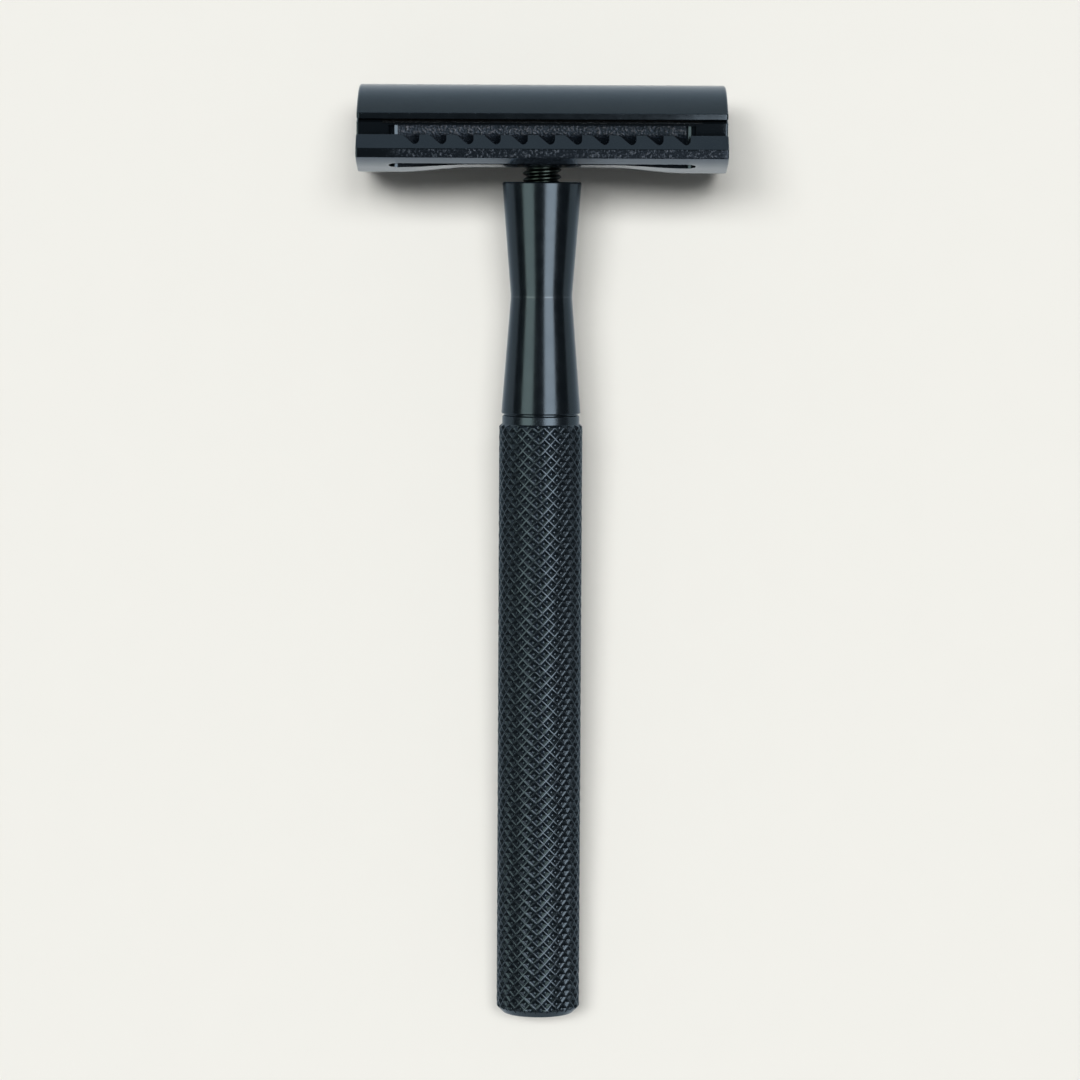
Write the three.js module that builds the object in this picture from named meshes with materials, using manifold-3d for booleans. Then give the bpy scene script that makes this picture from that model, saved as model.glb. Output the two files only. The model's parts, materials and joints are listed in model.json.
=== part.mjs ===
// Double-edge safety razor, closed on its blade, lying on a table as it is put down after use.
//
// Millimetres. The razor's own frame has X along the head, Y up the handle towards the head with
// Y = 0 on the handle's top face, and Z across the head. The whole razor is then tilted about X, so
// that it rests on its lower guard bar and on the end of its grip, with +Z up and Z = 0 the table.
//
// The head unscrews from the handle: the cap, its threaded stud and its two guide posts are one
// moving body, the blade is clamped between the cap and the base plate, and the stud passes through
// the plate into the threaded bush in the handle's neck.

import * as THREE from 'three';
import { mergeVertices } from 'three/addons/utils/BufferGeometryUtils.js';
import Module from 'manifold-3d';

const wasm = await Module();
wasm.setup();

// ---------------------------------------------------------------- driving dimensions

// The standard double-edge blade, which sets the size of the head.
const BLADE_LENGTH = 42.8;
const BLADE_WIDTH = 22;
const BLADE_THICKNESS = 0.1;
const BLADE_EDGE_LENGTH = 37.2;
const BLADE_TAB_WIDTH = 15;
const BLADE_BEND_RADIUS = 22;
const BLADE_SLOT_HALF_LENGTH = 16.5;
const BLADE_SLOT_HALF_WIDTH = 1;

// The head, with levels measured up the handle's axis from the handle's top face.
const HEAD_LENGTH = 43.3;
const HEAD_CORNER_RADIUS = 0.9;
const CLAMP_GAP = 0.12;

const CAP_WIDTH = 20.6;
const CAP_CROWN_LEVEL = 11.5;
const CAP_SHOULDER_LEVEL = 7.9;
const CAP_LIP_LEVEL = 7.1;
const CAP_END_RADIUS = 0.6;

const PLATE_WIDTH = 26;
const PLATFORM_WIDTH = 20.2;
const PLATE_CORNER_RADIUS = 1;
const BAR_THICKNESS = 1.8;
const BAR_TOP_LEVEL = 5.4;
const BAR_LOWER_LEVEL = 2.7;
const BAR_CHAMFER_WIDTH = 1.5;
const BAR_CHAMFER_DROP = 1.65;
const VALLEY_DEPTH = 0.4;

// The underside slopes from the bars to a flat land, which arches up between the head's ends.
const BAR_UNDER_DROP = 0.65;
const RIM_RISE = 0.5;
const RIM_ARCH_SHARE = 0.6;
const LAND_WIDTH = 13;
const LAND_LEVEL_AT_ENDS = 1.1;
const LAND_ARCH = 0.6;
const ARCH_STARTS_AT = 17;
const ARCH_FLAT_FROM = 8;

// One long lather slot beside each bar, closed above by the lip that carries the blade.
const SLOT_LENGTH = 35.8;
const SLOT_WIDTH = 2.3;
const SLOT_END_RADIUS = 1.1;
const SLOT_CEILING_LEVEL = 6.5;

// Each notch of the guard's comb has a long slope, a round floor and a steep wall.
const SCALLOP_COUNT = 11;
const SCALLOP_PITCH = 3.15;
const SCALLOP_SHIFT = 0.88;
const SCALLOP_DEPTH = 1.15;
const SCALLOP_SLOPE_LENGTH = 1.5;
const SCALLOP_FLOOR_RADIUS = 0.6;

// The cap's stud and guide posts.
const STUD_RADIUS = 2.2;
const STUD_END_LEVEL = -7.2;
const STUD_POINT = 0.5;
const POST_RADIUS = 1.4;
const POST_SPACING = 21;
const POST_END_LEVEL = 2.2;
const POST_POINT = 0.3;
const SOCKET_DEPTH = 0.9;
const RUNNING_GAP = 0.4;
const FIXED_GAP = 0.12;

// The handle, with levels below its top face.
const NECK_TOP_RADIUS = 4.72;
const NECK_WAIST_RADIUS = 3.66;
const NECK_WAIST_LEVEL = -13.6;
const NECK_WAIST_LAND = 0.6;
const NECK_END_LEVEL = -27.5;
const NECK_EDGE = 0.2;

const BUSH_RADIUS = 3.1;
const BUSH_LENGTH = 9.4;
const BUSH_SET_BACK = 0.3;

const GRIP_RADIUS = 4.97;
const GRIP_BORE_RADIUS = 3.4;
const GRIP_END_LEVEL = -99.7;
const GRIP_END_CHAMFER = 0.8;
const COLLAR_RADIUS = 4.6;
const COLLAR_LENGTH = 1;
const PARTING_GAP = 0.25;
const TENON_LENGTH = 11;
const PLUG_LENGTH = 8;

// How many flats stand for a full turn.
const ROUND_SEGMENTS = 48;
const SMALL_ROUND_SEGMENTS = 24;
const ARC_STEPS = 14;

// ---------------------------------------------------------------- derived dimensions

const HALF_HEAD = HEAD_LENGTH / 2;
const CAP_HALF = CAP_WIDTH / 2;
const PLATE_HALF = PLATE_WIDTH / 2;
const PLATFORM_HALF = PLATFORM_WIDTH / 2;
const BAR_INNER = PLATE_HALF - BAR_THICKNESS;

// The blade bends to an arc, and the cap and the platform follow it a clamp gap away.
const UNDER_CAP_RADIUS = BLADE_BEND_RADIUS + BLADE_THICKNESS / 2 + CLAMP_GAP;
const PLATFORM_RADIUS = BLADE_BEND_RADIUS - BLADE_THICKNESS / 2 - CLAMP_GAP;
const BEND_CENTRE_LEVEL = CAP_LIP_LEVEL - Math.sqrt(UNDER_CAP_RADIUS ** 2 - CAP_HALF ** 2);
const UNDER_CAP_CROWN = BEND_CENTRE_LEVEL + UNDER_CAP_RADIUS;
const SOCKET_TOP_LEVEL = UNDER_CAP_CROWN + SOCKET_DEPTH;

// The cap's outer arc passes through its crown and both shoulders.
const CAP_RISE = CAP_CROWN_LEVEL - CAP_SHOULDER_LEVEL;
const CAP_RADIUS = (CAP_HALF ** 2 + CAP_RISE ** 2) / (2 * CAP_RISE);

const SLOT_OUTER = BAR_INNER;
const SLOT_INNER = SLOT_OUTER - SLOT_WIDTH;

const NECK_BORE_RADIUS = BUSH_RADIUS + FIXED_GAP;
const NECK_BORE_DEPTH = BUSH_SET_BACK + BUSH_LENGTH + FIXED_GAP;
const BUSH_BORE_RADIUS = STUD_RADIUS + RUNNING_GAP / 2;
const TENON_RADIUS = GRIP_BORE_RADIUS - FIXED_GAP;
const GRIP_TOP_LEVEL = NECK_END_LEVEL - PARTING_GAP;
const KNURL_START_LEVEL = GRIP_TOP_LEVEL - COLLAR_LENGTH;

// Lying down, the razor touches the table with the lower guard edge and the end of its grip.
const REST_SPAN = BAR_LOWER_LEVEL - (GRIP_END_LEVEL + GRIP_END_CHAMFER);
const REST_TILT = Math.atan((PLATE_HALF - GRIP_RADIUS) / REST_SPAN);

// ---------------------------------------------------------------- materials

function coating(name, color, roughness, metalness) {
  return new THREE.MeshStandardMaterial({ name, color, roughness, metalness });
}

const satinBlack = () => coating('satin_black_coating', 0x1b2226, 0.38, 0.5);
const knurledBlack = () => coating('knurled_black_coating', 0x171d21, 0.45, 0.5);
const blackenedSteel = () => coating('blackened_steel', 0x161d1c, 0.4, 0.9);
const bladeSteel = () => coating('blade_steel', 0xb9bdc0, 0.25, 1);
const bushBrass = () => coating('bush_brass', 0xa88a4e, 0.35, 1);

// ---------------------------------------------------------------- geometry helpers

function toSolid(geometry) {
  const bare = geometry.clone();
  bare.deleteAttribute('normal');
  bare.deleteAttribute('uv');
  const merged = mergeVertices(bare, 1e-5);
  return new wasm.Manifold(new wasm.Mesh({
    numProp: 3,
    vertProperties: new Float32Array(merged.attributes.position.array),
    triVerts: new Uint32Array(merged.index.array),
  }));
}

function toGeometry(solid) {
  const { vertProperties, triVerts } = solid.getMesh();
  const geometry = new THREE.BufferGeometry();
  geometry.setAttribute('position', new THREE.BufferAttribute(vertProperties, 3));
  geometry.setIndex(new THREE.BufferAttribute(triVerts, 1));
  geometry.computeVertexNormals();
  return geometry;
}

function cutAway(solid, cutters) {
  return cutters.reduce((rest, cutter) => rest.subtract(cutter), solid);
}

// Points of an arc as [across, level] pairs, with angles measured from +across towards +level.
function arc(acrossCentre, levelCentre, radius, fromAngle, toAngle, steps) {
  const points = [];
  for (let i = 0; i <= steps; i += 1) {
    const angle = fromAngle + ((toAngle - fromAngle) * i) / steps;
    points.push([acrossCentre + radius * Math.cos(angle), levelCentre + radius * Math.sin(angle)]);
  }
  return points;
}

// An arc about the handle's axis plane, from +halfWidth over the crown to -halfWidth.
function crownArc(levelCentre, radius, halfWidth, steps) {
  const reach = Math.asin(halfWidth / radius);
  return arc(0, levelCentre, radius, Math.PI / 2 - reach, Math.PI / 2 + reach, steps);
}

function shapeOf(points) {
  return new THREE.Shape(points.map(([u, v]) => new THREE.Vector2(u, v)));
}

// Extrudes an [across, level] outline along the head, centred on the handle.
function extrudeAlongHead(points, length) {
  const geometry = new THREE.ExtrudeGeometry(shapeOf(points), { depth: length, bevelEnabled: false });
  geometry.translate(0, 0, -length / 2);
  geometry.rotateY(-Math.PI / 2);
  return geometry;
}

// Extrudes a shape drawn in the X-Y plane across the head, from one Z to another.
function extrudeAcrossHead(shape, fromZ, toZ) {
  const options = { depth: toZ - fromZ, bevelEnabled: false, curveSegments: 6 };
  const geometry = new THREE.ExtrudeGeometry(shape, options);
  geometry.translate(0, 0, fromZ);
  return geometry;
}

// Extrudes a plan shape, drawn with X along the head and Y across it, from one level to another.
function extrudeUpAxis(shape, fromLevel, toLevel, curveSegments = 6) {
  const options = { depth: toLevel - fromLevel, bevelEnabled: false, curveSegments };
  const geometry = new THREE.ExtrudeGeometry(shape, options);
  geometry.rotateX(-Math.PI / 2);
  geometry.translate(0, fromLevel, 0);
  return geometry;
}

function cylinderUpAxis(radius, fromLevel, toLevel, x, segments) {
  const geometry = new THREE.CylinderGeometry(radius, radius, toLevel - fromLevel, segments);
  geometry.translate(x, (fromLevel + toLevel) / 2, 0);
  return geometry;
}

function roundedRectangle(left, bottom, right, top, bottomRadius, topRadius) {
  const shape = new THREE.Shape();
  shape.moveTo(left + bottomRadius, bottom);
  shape.lineTo(right - bottomRadius, bottom);
  shape.absarc(right - bottomRadius, bottom + bottomRadius, bottomRadius, -Math.PI / 2, 0, false);
  shape.lineTo(right, top - topRadius);
  shape.absarc(right - topRadius, top - topRadius, topRadius, 0, Math.PI / 2, false);
  shape.lineTo(left + topRadius, top);
  shape.absarc(left + topRadius, top - topRadius, topRadius, Math.PI / 2, Math.PI, false);
  shape.lineTo(left, bottom + bottomRadius);
  shape.absarc(left + bottomRadius, bottom + bottomRadius, bottomRadius, Math.PI, 1.5 * Math.PI, false);
  return shape;
}

// A closed solid through outlines of equal length, one at each X station, as [across, level] pairs.
function loftAlongHead(stations, outlineAt) {
  const outlines = stations.map(outlineAt);
  const count = outlines[0].length;
  const positions = [];
  outlines.forEach((outline, s) => {
    outline.forEach(([across, level]) => positions.push(stations[s], level, across));
  });
  const faces = [];
  for (let s = 0; s + 1 < stations.length; s += 1) {
    for (let i = 0; i < count; i += 1) {
      const next = (i + 1) % count;
      const [a, b] = [s * count + i, s * count + next];
      const [c, d] = [a + count, b + count];
      faces.push(a, d, b, a, c, d);
    }
  }
  const lastStart = (stations.length - 1) * count;
  const capFaces = (outline) => {
    const flat = outline.map(([across, level]) => new THREE.Vector2(across, level));
    return THREE.ShapeUtils.triangulateShape(flat, []);
  };
  capFaces(outlines[0]).forEach(([a, b, c]) => faces.push(a, b, c));
  capFaces(outlines.at(-1)).forEach(([a, b, c]) => faces.push(lastStart + a, lastStart + c, lastStart + b));
  const geometry = new THREE.BufferGeometry();
  geometry.setAttribute('position', new THREE.Float32BufferAttribute(positions, 3));
  geometry.setIndex(faces);
  return geometry;
}

function lathe(profile, segments = ROUND_SEGMENTS) {
  const points = profile.map(([radius, level]) => new THREE.Vector2(radius, level));
  return new THREE.LatheGeometry(points, segments);
}

// Trims both ends of a head piece to the head's length, with rounded corners seen from above.
function headEnvelope(width, fromLevel, toLevel) {
  const half = width / 2;
  const radius = HEAD_CORNER_RADIUS;
  const plan = roundedRectangle(-HALF_HEAD, -half, HALF_HEAD, half, radius, radius);
  return toSolid(extrudeUpAxis(plan, fromLevel, toLevel, 4));
}

// ---------------------------------------------------------------- the cap and what is fixed to it

function buildTopCap() {
  const crown = crownArc(CAP_CROWN_LEVEL - CAP_RADIUS, CAP_RADIUS, CAP_HALF, ARC_STEPS);
  const underside = crownArc(BEND_CENTRE_LEVEL, UNDER_CAP_RADIUS, CAP_HALF, ARC_STEPS).reverse();
  const bar = toSolid(extrudeAlongHead([...crown, ...underside], HEAD_LENGTH + 2));
  const endView = roundedRectangle(
    -HALF_HEAD, BEND_CENTRE_LEVEL, HALF_HEAD, CAP_CROWN_LEVEL, CAP_END_RADIUS, CAP_END_RADIUS,
  );
  const rounded = bar
    .intersect(toSolid(extrudeAcrossHead(endView, -CAP_HALF - 1, CAP_HALF + 1)))
    .intersect(headEnvelope(CAP_WIDTH, CAP_LIP_LEVEL - 1, CAP_CROWN_LEVEL + 1));
  const socket = (radius, x) => toSolid(cylinderUpAxis(
    radius + FIXED_GAP, CAP_LIP_LEVEL, SOCKET_TOP_LEVEL, x, SMALL_ROUND_SEGMENTS,
  ));
  return toGeometry(cutAway(rounded, [
    socket(STUD_RADIUS, 0),
    socket(POST_RADIUS, -POST_SPACING / 2),
    socket(POST_RADIUS, POST_SPACING / 2),
  ]));
}

// A pin with a chamfered lower end, whose upper end is fixed in its socket in the cap.
function capPin(radius, endLevel, point) {
  const top = SOCKET_TOP_LEVEL - FIXED_GAP;
  return lathe([
    [0, endLevel],
    [radius - point, endLevel],
    [radius, endLevel + point],
    [radius, top],
    [0, top],
  ], SMALL_ROUND_SEGMENTS);
}

function buildStud() {
  return capPin(STUD_RADIUS, STUD_END_LEVEL, STUD_POINT);
}

function buildGuidePost() {
  return capPin(POST_RADIUS, POST_END_LEVEL, POST_POINT);
}

// ---------------------------------------------------------------- the blade

function buildBlade() {
  const reach = BLADE_WIDTH / 2 / BLADE_BEND_RADIUS;
  const face = (radius) => arc(
    0, BEND_CENTRE_LEVEL, radius, Math.PI / 2 - reach, Math.PI / 2 + reach, ARC_STEPS,
  );
  const outer = face(BLADE_BEND_RADIUS + BLADE_THICKNESS / 2);
  const inner = face(BLADE_BEND_RADIUS - BLADE_THICKNESS / 2).reverse();
  const sheet = toSolid(extrudeAlongHead([...outer, ...inner], BLADE_LENGTH));

  const [low, high] = [CAP_LIP_LEVEL - 2, CAP_CROWN_LEVEL];
  const [slotLength, slotWidth] = [BLADE_SLOT_HALF_LENGTH, BLADE_SLOT_HALF_WIDTH];
  const postClearance = POST_RADIUS + RUNNING_GAP;
  const slot = roundedRectangle(
    -slotLength, -slotWidth, slotLength, slotWidth, slotWidth, slotWidth,
  );
  const cutters = [
    toSolid(extrudeUpAxis(slot, low, high)),
    toSolid(cylinderUpAxis(STUD_RADIUS + RUNNING_GAP, low, high, 0, SMALL_ROUND_SEGMENTS)),
  ];
  for (const end of [-1, 1]) {
    const x = (end * POST_SPACING) / 2;
    cutters.push(toSolid(cylinderUpAxis(postClearance, low, high, x, SMALL_ROUND_SEGMENTS)));
    for (const side of [-1, 1]) {
      cutters.push(toSolid(bladeCornerCutter(end, side, low, high)));
    }
  }
  return toGeometry(cutAway(sheet, cutters));
}

// The notch at a corner of the blade, which leaves the narrower tab at its end.
function bladeCornerCutter(end, side, low, high) {
  const depth = (BLADE_LENGTH - BLADE_EDGE_LENGTH) / 2;
  const width = (BLADE_WIDTH - BLADE_TAB_WIDTH) / 2;
  const geometry = new THREE.BoxGeometry(2 * depth, high - low, 2 * width);
  geometry.translate((end * BLADE_LENGTH) / 2, (low + high) / 2, (side * BLADE_WIDTH) / 2);
  return geometry;
}

// ---------------------------------------------------------------- the base plate

// 0 at the head's ends, rising smoothly to 1 over the middle.
function archShare(x) {
  const along = (ARCH_STARTS_AT - Math.abs(x)) / (ARCH_STARTS_AT - ARCH_FLAT_FROM);
  const t = Math.min(Math.max(along, 0), 1);
  return t * t * (3 - 2 * t);
}

function plateOutline(x) {
  const arch = LAND_ARCH * archShare(x);
  const landHalf = LAND_WIDTH / 2;
  const landLevel = LAND_LEVEL_AT_ENDS + arch;
  const valleyLevel = BAR_TOP_LEVEL - VALLEY_DEPTH;
  const guard = [
    [PLATFORM_HALF, valleyLevel],
    [BAR_INNER, valleyLevel],
    [BAR_INNER, BAR_TOP_LEVEL],
    [PLATE_HALF - BAR_CHAMFER_WIDTH, BAR_TOP_LEVEL],
    [PLATE_HALF, BAR_TOP_LEVEL - BAR_CHAMFER_DROP],
    [PLATE_HALF, BAR_LOWER_LEVEL],
    [BAR_INNER, BAR_LOWER_LEVEL - BAR_UNDER_DROP],
    [SLOT_INNER, LAND_LEVEL_AT_ENDS + RIM_RISE + RIM_ARCH_SHARE * arch],
    [landHalf, landLevel],
  ];
  const mirrored = guard.map(([across, level]) => [-across, level]);
  const platform = crownArc(BEND_CENTRE_LEVEL, PLATFORM_RADIUS, PLATFORM_HALF, ARC_STEPS);
  return [...platform, ...mirrored, ...guard.reverse()];
}

function plateStations() {
  const transition = 6;
  const half = [];
  for (let i = 0; i <= transition; i += 1) {
    half.push(ARCH_FLAT_FROM + ((ARCH_STARTS_AT - ARCH_FLAT_FROM) * i) / transition);
  }
  half.push(HALF_HEAD + 1);
  return [...half.map((x) => -x).reverse(), ...half];
}

function latherSlotCutter(side) {
  const half = SLOT_LENGTH / 2;
  const radius = SLOT_END_RADIUS;
  const middle = (side * (SLOT_INNER + SLOT_OUTER)) / 2;
  const plan = roundedRectangle(
    -half, middle - SLOT_WIDTH / 2, half, middle + SLOT_WIDTH / 2, radius, radius,
  );
  return toSolid(extrudeUpAxis(plan, LAND_LEVEL_AT_ENDS - 1, SLOT_CEILING_LEVEL));
}

// One notch, with X = 0 at its lowest point: an S-shaped slope down to a round floor and a wall.
function scallopShape() {
  const floorLevel = BAR_TOP_LEVEL - SCALLOP_DEPTH;
  const radius = SCALLOP_FLOOR_RADIUS;
  const above = BAR_TOP_LEVEL + 1;
  const slopeSteps = 7;
  const points = [[-SCALLOP_SLOPE_LENGTH, above]];
  for (let i = 0; i < slopeSteps; i += 1) {
    const share = i / slopeSteps;
    const rise = (SCALLOP_DEPTH * (1 + Math.cos(Math.PI * share))) / 2;
    points.push([-SCALLOP_SLOPE_LENGTH * (1 - share), floorLevel + rise]);
  }
  points.push(...arc(0, floorLevel + radius, radius, -Math.PI / 2, 0, 4));
  points.push([radius, above]);
  return shapeOf(points);
}

// The notches of one guard bar. The far bar is the near one turned half round the handle's axis.
function scallopCutters(side) {
  const notch = extrudeAcrossHead(scallopShape(), BAR_INNER - 0.2, PLATE_HALF + 1);
  const cutters = [];
  for (let i = 0; i < SCALLOP_COUNT; i += 1) {
    const cutter = notch.clone();
    cutter.translate((i - (SCALLOP_COUNT - 1) / 2) * SCALLOP_PITCH + SCALLOP_SHIFT, 0, 0);
    if (side < 0) cutter.rotateY(Math.PI);
    cutters.push(toSolid(cutter));
  }
  return cutters;
}

function buildBasePlate() {
  const block = toSolid(loftAlongHead(plateStations(), plateOutline));
  const endView = roundedRectangle(
    -HALF_HEAD, LAND_LEVEL_AT_ENDS, HALF_HEAD, CAP_CROWN_LEVEL, PLATE_CORNER_RADIUS, 0.1,
  );
  const trimmed = block
    .intersect(toSolid(extrudeAcrossHead(endView, -PLATE_HALF - 1, PLATE_HALF + 1)))
    .intersect(headEnvelope(PLATE_WIDTH, LAND_LEVEL_AT_ENDS - 1, CAP_CROWN_LEVEL));
  const [low, high] = [LAND_LEVEL_AT_ENDS - 1, CAP_CROWN_LEVEL];
  const hole = (radius, x) => toSolid(cylinderUpAxis(
    radius + RUNNING_GAP, low, high, x, SMALL_ROUND_SEGMENTS,
  ));
  return toGeometry(cutAway(trimmed, [
    hole(STUD_RADIUS, 0),
    hole(POST_RADIUS, -POST_SPACING / 2),
    hole(POST_RADIUS, POST_SPACING / 2),
    latherSlotCutter(-1),
    latherSlotCutter(1),
    ...scallopCutters(-1),
    ...scallopCutters(1),
  ]));
}

// ---------------------------------------------------------------- the handle

function buildNeck() {
  const waistTop = NECK_WAIST_LEVEL + NECK_WAIST_LAND / 2;
  const waistBottom = NECK_WAIST_LEVEL - NECK_WAIST_LAND / 2;
  return lathe([
    [0, NECK_END_LEVEL - TENON_LENGTH],
    [TENON_RADIUS, NECK_END_LEVEL - TENON_LENGTH],
    [TENON_RADIUS, NECK_END_LEVEL],
    [NECK_TOP_RADIUS - NECK_EDGE, NECK_END_LEVEL],
    [NECK_TOP_RADIUS, NECK_END_LEVEL + NECK_EDGE],
    [NECK_WAIST_RADIUS, waistBottom],
    [NECK_WAIST_RADIUS, waistTop],
    [NECK_TOP_RADIUS, -NECK_EDGE],
    [NECK_TOP_RADIUS - NECK_EDGE, 0],
    [NECK_BORE_RADIUS, 0],
    [NECK_BORE_RADIUS, -NECK_BORE_DEPTH],
    [0, -NECK_BORE_DEPTH],
  ]);
}

function buildThreadBush() {
  const top = -BUSH_SET_BACK;
  const bottom = top - BUSH_LENGTH;
  return lathe([
    [BUSH_BORE_RADIUS, bottom],
    [BUSH_RADIUS, bottom],
    [BUSH_RADIUS, top],
    [BUSH_BORE_RADIUS, top],
    [BUSH_BORE_RADIUS, bottom],
  ]);
}

function buildGrip() {
  return lathe([
    [GRIP_BORE_RADIUS, GRIP_END_LEVEL],
    [GRIP_RADIUS - GRIP_END_CHAMFER, GRIP_END_LEVEL],
    [GRIP_RADIUS, GRIP_END_LEVEL + GRIP_END_CHAMFER],
    [GRIP_RADIUS, KNURL_START_LEVEL],
    [COLLAR_RADIUS, KNURL_START_LEVEL],
    [COLLAR_RADIUS, GRIP_TOP_LEVEL],
    [GRIP_BORE_RADIUS, GRIP_TOP_LEVEL],
    [GRIP_BORE_RADIUS, GRIP_END_LEVEL],
  ]);
}

function buildEndPlug() {
  return lathe([
    [0, GRIP_END_LEVEL],
    [TENON_RADIUS, GRIP_END_LEVEL],
    [TENON_RADIUS, GRIP_END_LEVEL + PLUG_LENGTH],
    [0, GRIP_END_LEVEL + PLUG_LENGTH],
  ]);
}

// ---------------------------------------------------------------- assembly

const razor = new THREE.Group();

function addPiece(name, geometry, material, x = 0) {
  const piece = new THREE.Mesh(geometry, material);
  piece.name = name;
  piece.position.x = x;
  razor.add(piece);
}

addPiece('top_cap', buildTopCap(), satinBlack());
addPiece('threaded_stud', buildStud(), blackenedSteel());
addPiece('guide_post_left', buildGuidePost(), blackenedSteel(), -POST_SPACING / 2);
addPiece('guide_post_right', buildGuidePost(), blackenedSteel(), POST_SPACING / 2);
addPiece('double_edge_blade', buildBlade(), bladeSteel());
addPiece('base_plate', buildBasePlate(), satinBlack());
addPiece('handle_neck', buildNeck(), satinBlack());
addPiece('thread_bush', buildThreadBush(), bushBrass());
addPiece('knurled_grip', buildGrip(), knurledBlack());
addPiece('handle_end_plug', buildEndPlug(), satinBlack());

// Lie the razor down, then put the origin under the middle of its box, on the table.
razor.rotation.x = REST_TILT;
razor.updateMatrixWorld(true);
const extent = new THREE.Box3().setFromObject(razor, true);
const middle = extent.getCenter(new THREE.Vector3());
razor.position.set(-middle.x, -middle.y, -extent.min.z);

const table = new THREE.Group();
table.add(razor);

export default table;
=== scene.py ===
"""Looks of the double-edge safety razor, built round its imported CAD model.

Shapes are modelled in millimetres in the razor's own frame, which has X along the head, Y up the
handle with Y = 0 on the handle's top face, and Z across the head. A finished piece is scaled to
metres and placed by the matrix that the record's head_turn joint gives.
"""

import json
import math

import bmesh
import bpy
from mathutils import Matrix, Vector


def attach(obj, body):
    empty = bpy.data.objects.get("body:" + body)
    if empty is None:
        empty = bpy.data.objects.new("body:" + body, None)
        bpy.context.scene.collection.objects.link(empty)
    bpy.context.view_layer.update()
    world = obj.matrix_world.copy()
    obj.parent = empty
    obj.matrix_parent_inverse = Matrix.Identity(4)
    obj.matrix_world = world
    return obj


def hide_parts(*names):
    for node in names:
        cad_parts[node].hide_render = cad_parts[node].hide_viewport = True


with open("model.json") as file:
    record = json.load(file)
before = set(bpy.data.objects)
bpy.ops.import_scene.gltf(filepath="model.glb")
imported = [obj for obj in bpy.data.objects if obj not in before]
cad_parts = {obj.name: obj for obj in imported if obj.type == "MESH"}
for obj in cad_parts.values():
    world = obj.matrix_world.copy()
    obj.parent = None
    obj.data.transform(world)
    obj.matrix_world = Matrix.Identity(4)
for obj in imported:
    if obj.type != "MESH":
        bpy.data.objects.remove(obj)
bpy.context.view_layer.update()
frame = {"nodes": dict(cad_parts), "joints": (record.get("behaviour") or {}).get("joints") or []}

MM = 0.001


# ---------------------------------------------------------------- the razor's own frame

def razor_frame():
    """The matrix from the razor's own frame to the row frame, in metres."""
    turn = next(joint for joint in frame["joints"] if joint["name"] == "head_turn")
    along_head = Vector((1, 0, 0))
    up_handle = Vector(turn["axis"]).normalized()
    across_head = along_head.cross(up_handle)
    placed = Matrix((along_head, up_handle, across_head)).transposed().to_4x4()
    placed.translation = Vector(turn["pos_m"])
    return placed


RAZOR = razor_frame()


def cad_box_mm(node):
    """Lowest and highest corner of a CAD node in the razor's own frame, in millimetres."""
    to_razor = RAZOR.inverted()
    points = [to_razor @ vertex.co / MM for vertex in frame["nodes"][node].data.vertices]
    low = Vector([min(point[i] for point in points) for i in range(3)])
    high = Vector([max(point[i] for point in points) for i in range(3)])
    return low, high


CAP_LOW, CAP_HIGH = cad_box_mm("top_cap")
PLATE_LOW, PLATE_HIGH = cad_box_mm("base_plate")
BLADE_LOW, BLADE_HIGH = cad_box_mm("double_edge_blade")
STUD_LOW, STUD_HIGH = cad_box_mm("threaded_stud")
POST_LOW, POST_HIGH = cad_box_mm("guide_post_right")
NECK_LOW, NECK_HIGH = cad_box_mm("handle_neck")
BUSH_LOW, BUSH_HIGH = cad_box_mm("thread_bush")
GRIP_LOW, GRIP_HIGH = cad_box_mm("knurled_grip")
PLUG_LOW, PLUG_HIGH = cad_box_mm("handle_end_plug")

# ---------------------------------------------------------------- dimensions, in millimetres

HEAD_HALF = CAP_HIGH.x

CAP_HALF = CAP_HIGH.z
CAP_CROWN_LEVEL = CAP_HIGH.y
CAP_LIP_LEVEL = CAP_LOW.y
CAP_SHOULDER_LEVEL = 7.9
CAP_SHOULDER_ROUND = 0.22
CAP_LIP_ROUND = 0.12
CAP_END_ROUND = 0.3
CAP_LIP_UNDERCUT = 0.08

BLADE_THICKNESS = 0.1
BLADE_BEND_RADIUS = 22
BLADE_REACH = 11
BLADE_GROUND_WIDTH = 0.9
BLADE_EDGE_THICKNESS = 0.01
BLADE_EDGE_LENGTH = 37.2
BLADE_TAB_WIDTH = 15
BLADE_SLOT_HALF_LENGTH = 16.5
BLADE_SLOT_HALF_WIDTH = 1
BLADE_NOTCH_ROUND = 0.4
CLAMP_GAP = 0.12

PLATE_HALF = PLATE_HIGH.z
PLATE_END_ROUND = 0.2
PLATFORM_HALF = 10.1
BAR_INNER = 11.2
BAR_EDGE_ROUND = 0.35
BAR_TOP_LEVEL = 5.4
BAR_LOWER_LEVEL = 2.7
BAR_CHAMFER_WIDTH = 1.5
BAR_CHAMFER_DROP = 1.65
BAR_UNDER_DROP = 0.65
VALLEY_LEVEL = 5.0
PLATFORM_UNDERCUT = 0.3
SMALL_ROUND = 0.15
LAND_HALF = 6.5
LAND_LEVEL_AT_ENDS = PLATE_LOW.y
LAND_ARCH = 0.6
LAND_ROUND = 1.0
RIM_RISE = 0.5
RIM_ARCH_SHARE = 0.6
ARCH_STARTS_AT = 17
ARCH_FLAT_FROM = 8
SLOT_HALF_LENGTH = 17.9
SLOT_INNER = 8.9
SLOT_OUTER = 11.2
SLOT_END_ROUND = 1.1
SLOT_CEILING_LEVEL = 6.5

SCALLOP_COUNT = 11
SCALLOP_PITCH = 3.15
SCALLOP_SHIFT = 0.88
SCALLOP_DEPTH = 1.15
SCALLOP_SLOPE_LENGTH = 1.5
SCALLOP_FLOOR_ROUND = 0.6

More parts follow.
